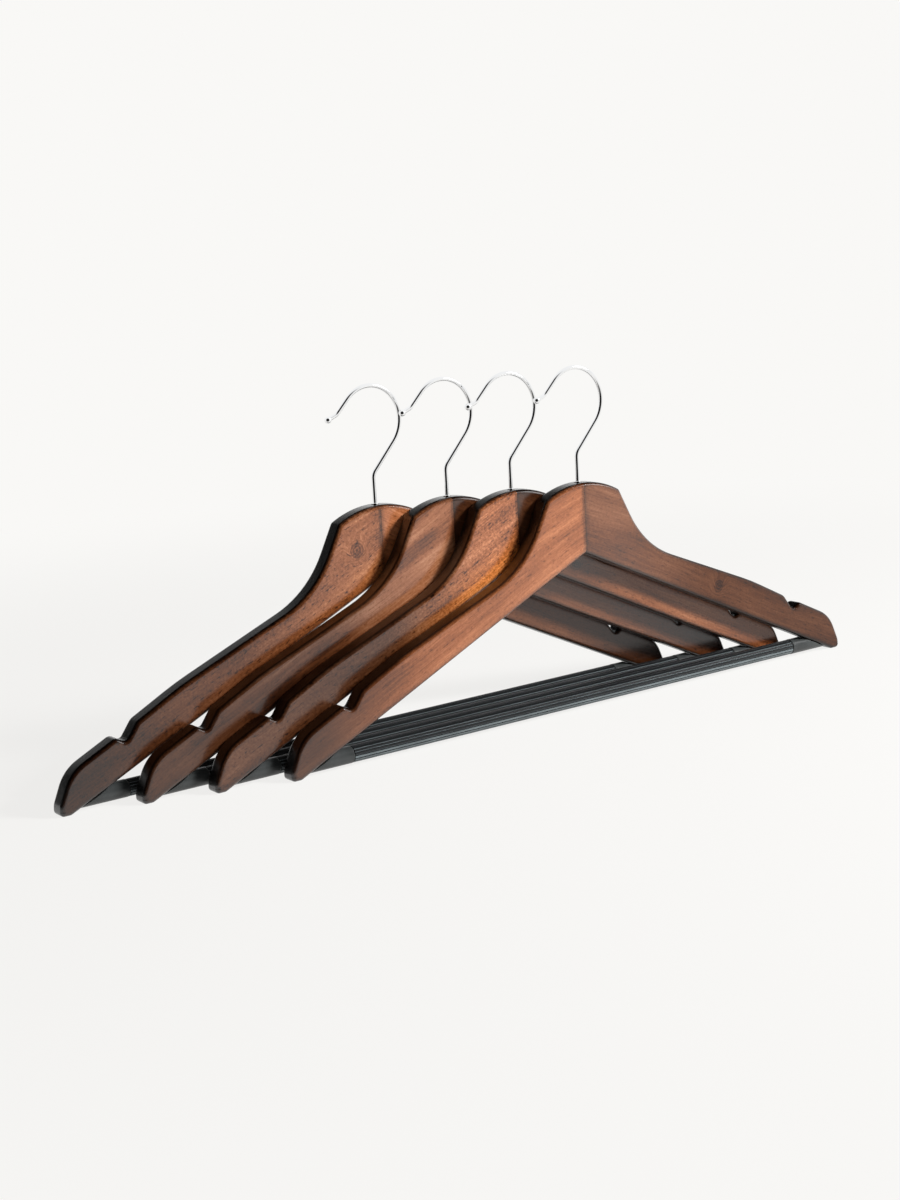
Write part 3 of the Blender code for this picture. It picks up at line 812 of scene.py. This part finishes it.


class Wood:
    """Coordinates, grain and knots of one board, in the wood it is sawn from."""

    def __init__(self, graph, side, look):
        x, self.depth, self.height = graph.split(graph.object_place())
        self.graph = graph
        self.look = look
        self.out = graph.times(x, SIDES[side])
        cosine, sine = math.cos(GRAIN_ANGLE), math.sin(GRAIN_ANGLE)
        self.along = graph.add(graph.times(self.out, cosine), graph.times(self.height, -sine), look.seed)
        self.across = graph.add(graph.times(self.out, sine), graph.times(self.height, cosine))
        self.drift = graph.centred(self.stretched(self.across, 7.0, 18.0, 2.0, 0.5), 7.0 * MM)
        self.knot_mask = 0.0
        self.knot_rings = 0.0
        for knot in look.knots:
            self.add_knot(*knot)
        self.across_drifted = graph.add(self.across, self.drift)
        self.patches = graph.noise(graph.join(self.along, self.across, self.depth), 28.0, 2.0)
        self.streaks = self.grain(9.0, 130.0, 4.0)
        self.bands = self.grain(3.5, 42.0, 2.0)
        self.threads = self.grain(22.0, 420.0, 3.0, 0.6)
        self.fibres = self.grain(60.0, 1100.0, 3.0, 0.6)
        self.pores = graph.step(self.grain(190.0, 620.0, 2.0), 0.58, 0.70)
        self.mottle = self.speckle(560.0, 3.0, 0.7)

    def stretched(self, across, along_scale, across_scale, detail, roughness):
        """Noise drawn out along the grain; scales are cells per metre."""
        graph = self.graph
        place = graph.join(
            graph.times(self.along, along_scale),
            graph.times(across, across_scale),
            graph.times(self.depth, across_scale),
        )
        return graph.noise(place, 1.0, detail, roughness)

    def grain(self, along_scale, across_scale, detail, roughness=0.55):
        """Stretched noise that drifts sideways and flows round the knots."""
        return self.stretched(self.across_drifted, along_scale, across_scale, detail, roughness)

    def speckle(self, scale, detail, roughness=0.5):
        """Noise without a direction."""
        place = self.graph.join(self.out, self.depth, self.height)
        return self.graph.noise(place, scale, detail, roughness)

    def add_knot(self, knot_out, knot_height, radius):
        graph = self.graph
        reach_x = graph.add(self.out, -knot_out)
        reach_z = graph.add(self.height, -knot_height)
        distance = graph.math("SQRT", graph.add(graph.times(reach_x, reach_x), graph.times(reach_z, reach_z)))
        distance = graph.add(distance, graph.centred(self.speckle(160.0, 2.0), 1.2 * MM))
        near = graph.step(distance, 0.7 * radius, 2.6 * radius, 1.0, 0.0)
        self.drift = graph.add(self.drift, graph.times(near, 1.4 * radius))
        heart = graph.step(distance, 0.5 * radius, 1.5 * radius, 1.0, 0.0)
        self.knot_mask = graph.add(self.knot_mask, heart)
        ring = graph.math("SINE", graph.times(distance, 2 * math.pi / (0.42 * radius)))
        ringed = graph.step(distance, radius, 1.8 * radius, 1.0, 0.0)
        self.knot_rings = graph.add(self.knot_rings, graph.times(ring, ringed))

    def stain(self):
        """Colour of the wood, with a painted warm reflection beside the mitre, before light and dark zones.
        """
        graph = self.graph
        figure, speckle = self.look.figure, self.look.speckle
        tone = graph.add(
            0.58,
            graph.centred(self.streaks, 0.42 * figure),
            graph.centred(self.bands, 0.40 * figure),
            graph.centred(self.patches, 0.26 * figure),
            graph.centred(self.threads, 0.24 * figure),
            graph.centred(self.fibres, 0.26),
            graph.centred(self.mottle, 0.42 * speckle),
            graph.times(self.pores, -0.34 * speckle),
            graph.times(self.knot_mask, -0.36),
            graph.times(self.knot_rings, -0.12),
        )
        colour = graph.ramp(tone, WOOD_STOPS)
        slope = math.tan(GRAIN_ANGLE)
        above_lower_edge = graph.add(self.height, graph.times(self.out, slope), -MITRE_FOOT_HEIGHT)
        # painted warm reflection: the wood turns lighter orange along the lower edge beside the mitre
        warm_reflection = graph.times(
            self.look.warm_reflection,
            graph.step(above_lower_edge, 3.0 * MM, 24.0 * MM, 1.0, 0.0),
            graph.step(self.out, 10.0 * MM, 120.0 * MM, 1.0, 0.0),
        )
        return graph.mix(warm_reflection, colour, graph.mix(1.0, colour, WARM_REFLECTION_TINT, "MULTIPLY"))

    def brightness(self):
        """Light and dark zones along the arm, partly the stain's tone and partly painted light and shade, and
        painted shade on its edges.
        """
        graph = self.graph
        look = self.look
        # painted light and shade, partly the stain's tone: a lit crown, darker tips, and darker crowns where
        # the next hanger shades the board
        zones = graph.add(
            graph.step(self.out, CROWN_ZONE, MIDDLE_ZONE, look.crown, look.middle),
            graph.step(self.out, MIDDLE_ZONE, TIP_ZONE, 0.0, look.tip - look.middle),
        )
        # painted shade: side faces and their roundings darken to near-black, as edges facing away from the
        # light
        edge = graph.step(graph.math("ABSOLUTE", graph.normal()[1]), 0.25, 0.97, 1.0, 0.0)
        # painted shade: the faces darken near their rounded edges
        rounded = graph.node("ShaderNodeBevel", {"Radius": RIM_SHADE_WIDTH}, samples=4).outputs[0]
        rounded_y = graph.math("ABSOLUTE", graph.split(rounded)[1])
        rim = graph.step(graph.add(rounded_y, graph.centred(self.mottle, 0.05)), 0.80, 0.998, 1.0, 0.0)
        return graph.times(
            zones, graph.add(1.0, graph.times(edge, -0.93)), graph.add(1.0, graph.times(rim, -0.78))
        )


def stained_board(name, side, look):
    """Stained, lacquered hardwood with its grain along the arm."""
    material, graph, shader = new_material(f"stained_{name}")
    wood = Wood(graph, side, look)
    # the stain times the zones and edge darkening: painted light and shade along the arm and on its edges
    colour = graph.mix(1.0, wood.stain(), graph.grey(wood.brightness()), "MULTIPLY")
    relief = graph.add(
        graph.times(wood.fibres, 0.5),
        graph.times(wood.pores, -0.6),
        graph.times(wood.streaks, 0.3),
    )
    skin = graph.add(wood.speckle(420.0, 1.0), graph.times(relief, 0.25))
    graph.feed(shader.inputs["Base Color"], colour)
    graph.feed(shader.inputs["Roughness"], graph.add(0.42, graph.centred(wood.mottle, 0.10)))
    graph.feed(shader.inputs["Specular IOR Level"], 0.25)
    graph.feed(shader.inputs["Normal"], graph.bump(relief, 0.10 * MM, 0.8))
    graph.feed(shader.inputs["Coat Weight"], graph.step(wood.out, GLOSS_ZONE, MIDDLE_ZONE, 1.0, look.gloss))
    graph.feed(shader.inputs["Coat IOR"], 1.72)
    graph.feed(shader.inputs["Coat Roughness"], graph.add(0.20, graph.centred(wood.patches, 0.10)))
    graph.feed(shader.inputs["Coat Normal"], graph.bump(skin, 0.05 * MM, 0.5))
    return material


def chrome():
    """Bright chromed wire, a sharp mirror with faint haze and drawing marks in its tint."""
    material, graph, shader = new_material("chrome")
    place = graph.object_place()
    marks = graph.noise(place, 900.0, 3.0, 0.7)
    haze = graph.noise(place, 60.0, 2.0)
    tone = graph.add(haze, graph.centred(marks, 0.15))
    colour = graph.ramp(tone, ((0.3, (0.86, 0.87, 0.88)), (0.7, (0.96, 0.96, 0.96))))
    graph.feed(shader.inputs["Base Color"], colour)
    graph.feed(shader.inputs["Metallic"], 1.0)
    graph.feed(shader.inputs["Roughness"], 0.0)
    return material


def zinc_steel():
    """Dull plated steel, slightly mottled."""
    material, graph, shader = new_material("zinc_steel")
    place = graph.object_place()
    spangle = graph.noise(place, 1400.0, 3.0, 0.6)
    colour = graph.ramp(spangle, ((0.3, (0.42, 0.43, 0.45)), (0.7, (0.60, 0.61, 0.63))))
    graph.feed(shader.inputs["Base Color"], colour)
    graph.feed(shader.inputs["Metallic"], 1.0)
    graph.feed(shader.inputs["Roughness"], graph.add(0.28, graph.times(spangle, 0.2)))
    graph.feed(shader.inputs["Normal"], graph.bump(spangle, 0.02 * MM, 0.4))
    return material


def ribbed_vinyl():
    """Matt charcoal vinyl with a fine grain and faint extrusion lines along the bar; a painted reflection of
    the pale floor makes it grey-blue below, painted shade near-black on top.
    """
    material, graph, shader = new_material("ribbed_vinyl")
    place = graph.object_place()
    x, y, z = graph.split(place)
    drawn_out = graph.join(graph.times(x, 2600.0), graph.times(y, 2600.0), graph.times(z, 12.0))
    lines = graph.noise(drawn_out, 1.0, 3.0, 0.6)
    grain = graph.noise(place, 2600.0, 2.0, 0.7)
    bloom = graph.noise(place, 45.0, 3.0)
    tone = graph.add(lines, graph.centred(bloom, 0.3), graph.centred(grain, 0.2))
    # grey-blue ramp, lighter than the charcoal: painted reflection of the pale floor
    colour = graph.ramp(tone, ((0.25, (0.130, 0.156, 0.164)), (0.75, (0.300, 0.352, 0.368))))
    # painted shade: upward-facing parts turn near-black
    colour = graph.mix(graph.step(graph.normal()[2], -0.30, 0.20), colour, (0.010, 0.011, 0.012))
    graph.feed(shader.inputs["Base Color"], colour)
    graph.feed(shader.inputs["Roughness"], graph.add(0.42, graph.centred(bloom, 0.10)))
    graph.feed(shader.inputs["Specular IOR Level"], 0.6)
    graph.feed(shader.inputs["Normal"], graph.bump(graph.add(lines, grain), 0.04 * MM, 0.5))
    return material


def black_plastic():
    """Moulded black plastic with a fine spark-eroded texture."""
    material, graph, shader = new_material("black_plastic")
    place = graph.object_place()
    texture = graph.noise(place, 3000.0, 2.0, 0.6)
    rub = graph.noise(place, 90.0, 3.0)
    colour = graph.ramp(rub, ((0.3, (0.035, 0.038, 0.038)), (0.7, (0.065, 0.070, 0.070))))
    graph.feed(shader.inputs["Base Color"], colour)
    graph.feed(shader.inputs["Roughness"], graph.add(0.34, graph.centred(rub, 0.10)))
    graph.feed(shader.inputs["Normal"], graph.bump(texture, 0.02 * MM, 0.4))
    return material


def bare_wood():
    """Unfinished beech of the dowels and the bar's core, with its grain along X."""
    material, graph, shader = new_material("bare_wood")
    x, y, z = graph.split(graph.object_place())
    grain_place = graph.join(graph.times(x, 14.0), graph.times(y, 420.0), graph.times(z, 420.0))
    grain = graph.noise(grain_place, 1.0, 4.0, 0.6)
    fleck_place = graph.join(graph.times(x, 260.0), graph.times(y, 1500.0), graph.times(z, 1500.0))
    flecks = graph.noise(fleck_place, 1.0, 2.0)
    tone = graph.add(grain, graph.times(graph.step(flecks, 0.60, 0.72), -0.3))
    colour = graph.ramp(tone, ((0.25, (0.36, 0.21, 0.11)), (0.75, (0.66, 0.47, 0.29))))
    graph.feed(shader.inputs["Base Color"], colour)
    graph.feed(shader.inputs["Roughness"], graph.add(0.62, graph.centred(grain, 0.1)))
    graph.feed(shader.inputs["Normal"], graph.bump(tone, 0.08 * MM, 0.5))
    return material


# --------------------------------------------------------------------------------------------- stage

def tent(graph, place):
    """What sharp mirrors see in a direction: a white tent with a dark opening around the camera."""
    towards_camera = graph.node("ShaderNodeVectorMath", {0: place, 1: TENT_OPENING}, operation="DOT_PRODUCT")
    return graph.step(towards_camera.outputs["Value"], 0.44, 0.78, 0.97, 0.01)


def floor_glow(graph, x, y):
    """Brightness of the floor: full for the camera, dim for the light it throws up, zoned in the lacquer."""
    rays = graph.node("ShaderNodeLightPath").outputs
    behind = graph.add(graph.times(x, 0.6), graph.times(y, 0.8))
    in_lacquer = graph.times(
        graph.step(behind, -0.80, -0.40, 0.02, 0.95),
        graph.step(x, -0.65, -0.30, 0.05, 1.0),
    )
    incoming = graph.node("ShaderNodeNewGeometry").outputs["Incoming"]
    outgoing = graph.node("ShaderNodeVectorMath", {0: incoming}, operation="SCALE")
    graph.feed(outgoing.inputs["Scale"], -1.0)
    strength = graph.choose(FLOOR_BOUNCE, rays["Is Glossy Ray"], in_lacquer)
    strength = graph.choose(strength, rays["Is Singular Ray"], tent(graph, outgoing.outputs[0]))
    return graph.choose(strength, rays["Is Camera Ray"], 1.0)


def floor_material():
    """Pale paper that glows like the background, with a share that takes shadows near the hangers."""
    material, graph, shader = new_material("pale_floor")
    x, y, z = graph.split(graph.object_place())
    distance = graph.math("SQRT", graph.add(graph.times(x, x), graph.times(y, y)))
    share = graph.step(distance, 0.35, 1.0, 0.12, 0.0)
    colour = (*BACKGROUND, 1.0)
    glow = graph.node("ShaderNodeEmission", {"Color": colour, "Strength": floor_glow(graph, x, y)})
    paper = graph.node("ShaderNodeBsdfDiffuse", {"Color": colour})
    blend = graph.node("ShaderNodeMixShader", {0: share, 1: glow.outputs[0], 2: paper.outputs[0]})
    graph.feed(material.node_tree.nodes["Material Output"].inputs["Surface"], blend.outputs[0])
    material.node_tree.nodes.remove(shader)
    return material


def add_floor():
    """Plain pale floor that fades into the background."""
    surface = bmesh.new()
    bmesh.ops.create_grid(surface, x_segments=8, y_segments=8, size=60.0)
    mesh = bpy.data.meshes.new("floor")
    surface.to_mesh(mesh)
    surface.free()
    mesh.materials.append(floor_material())
    floor = new_object("floor", mesh)
    floor.location.z = cad_bounds[0].z - 0.05 * MM


def add_world():
    """Pale background. Lacquer reflects a bright wall behind and to the right, bare chrome a white tent."""
    world = bpy.data.worlds.new("studio")
    bpy.context.scene.world = world
    world.use_nodes = True
    graph = Graph(world.node_tree)
    background = world.node_tree.nodes["Background"]
    x, y, z = graph.split(graph.node("ShaderNodeTexCoord").outputs["Generated"])
    behind = graph.add(graph.times(x, 0.6), graph.times(y, 0.8))
    wall = graph.times(
        graph.step(behind, -0.40, 0.05),
        graph.step(x, -0.35, 0.10, 0.05, 1.0),
        graph.step(z, 0.60, 0.20, 0.0, 0.95),
    )
    rays = graph.node("ShaderNodeLightPath").outputs
    glow = graph.choose(0.02, rays["Is Glossy Ray"], wall)
    glow = graph.choose(glow, rays["Is Singular Ray"], tent(graph, graph.join(x, y, z)))
    graph.feed(background.inputs["Color"], graph.mix(rays["Is Camera Ray"], graph.grey(glow), BACKGROUND))


def aim(obj, target):
    obj.rotation_euler = (Vector(target) - obj.location).to_track_quat("-Z", "Y").to_euler()


def add_softbox(name, place, target, size, power, mirrored=True):
    """Soft light on a target. One that is not mirrored lights the pieces without a highlight."""
    light = bpy.data.lights.new(name, "AREA")
    light.shape = "RECTANGLE"
    light.size, light.size_y = size
    light.energy = power
    softbox = bpy.data.objects.new(name, light)
    softbox.location = place
    softbox.visible_glossy = mirrored
    bpy.context.scene.collection.objects.link(softbox)
    aim(softbox, target)


def add_lights():
    add_softbox("key", (0.95, -1.05, 0.85), (0.05, 0.0, 0.10), (0.35, 0.35), 36.0, mirrored=False)
    add_softbox("glint", (1.20, -0.80, 0.85), (0.05, 0.0, 0.10), (0.50, 0.50), 3.0)
    add_softbox("fill", (-0.70, -1.60, 0.90), (0.0, 0.0, 0.05), (1.20, 1.20), 3.0, mirrored=False)


def add_camera():
    camera = bpy.data.objects.new("camera", bpy.data.cameras.new("camera"))
    camera.data.lens = CAMERA_LENS
    camera.data.clip_end = 200.0
    turned = Matrix.Rotation(CAMERA_YAW, 4, "Z") @ Matrix.Rotation(math.pi / 2 + CAMERA_PITCH, 4, "X")
    camera.matrix_world = Matrix.Translation(CAMERA_PLACE) @ turned @ Matrix.Rotation(CAMERA_ROLL, 4, "Z")
    bpy.context.scene.collection.objects.link(camera)
    bpy.context.scene.camera = camera


# ------------------------------------------------------------------------------------------ assembly

def shaded(mesh):
    """The mesh with smooth, weighted shading."""
    obj = new_object("shading", mesh)
    shade(obj)
    mesh = obj.data
    bpy.data.objects.remove(obj, do_unlink=True)
    return mesh


def build_hangers():
    hangers = [Hanger(name) for name in HANGERS]
    boards = {side: board_mesh(side, hangers[0]) for side in SIDES}
    caps = {side: shaded(cap_mesh(side)) for side in SIDES}
    hook = shaded(hook_mesh())
    collar = shaded(collar_mesh())
    sleeve = shaded(sleeve_mesh())
    pin = shaded(pin_mesh())
    metal, steel, beech = chrome(), zinc_steel(), bare_wood()
    vinyl, plastic = ribbed_vinyl(), black_plastic()
    for hanger in hangers:
        for side in SIDES:
            board_name = f"{hanger.name}_{side}"
            wood = stained_board(board_name, side, BOARD_LOOKS[board_name])
            hanger.add(f"{side}_arm", boards[side], wood, "lacquered_wood")
            on_bar = Matrix.Translation((0.0, hanger.thickness / 2, BAR_HEIGHT))
            hanger.add(f"{side}_bar_end", caps[side], plastic, "black_plastic", on_bar)
            pin_middle = hanger.thickness - GAP - PIN_LENGTH / 2
            hanger.add(f"{side}_bar_pin", pin, steel, "zinc_steel", pin_place(side, pin_middle))
        hanger.add("hook", hook, metal, "chrome", on_hook_axis(hanger), hanger.hook_body)
        hanger.add("hook_ferrule", collar, metal, "chrome", on_hook_axis(hanger))
        hanger.add("bar_sleeve", sleeve, vinyl, "ribbed_vinyl", along_x(hanger, 0.0, BAR_HEIGHT))
        hanger.paint("hook_washer", steel)
        for piece in ("upper_mitre_dowel", "lower_mitre_dowel", "bar_core"):
            hanger.paint(piece, beech)


def main():
    bpy.context.scene.view_settings.view_transform = "Standard"
    build_hangers()
    add_floor()
    add_world()
    add_lights()
    add_camera()


main()
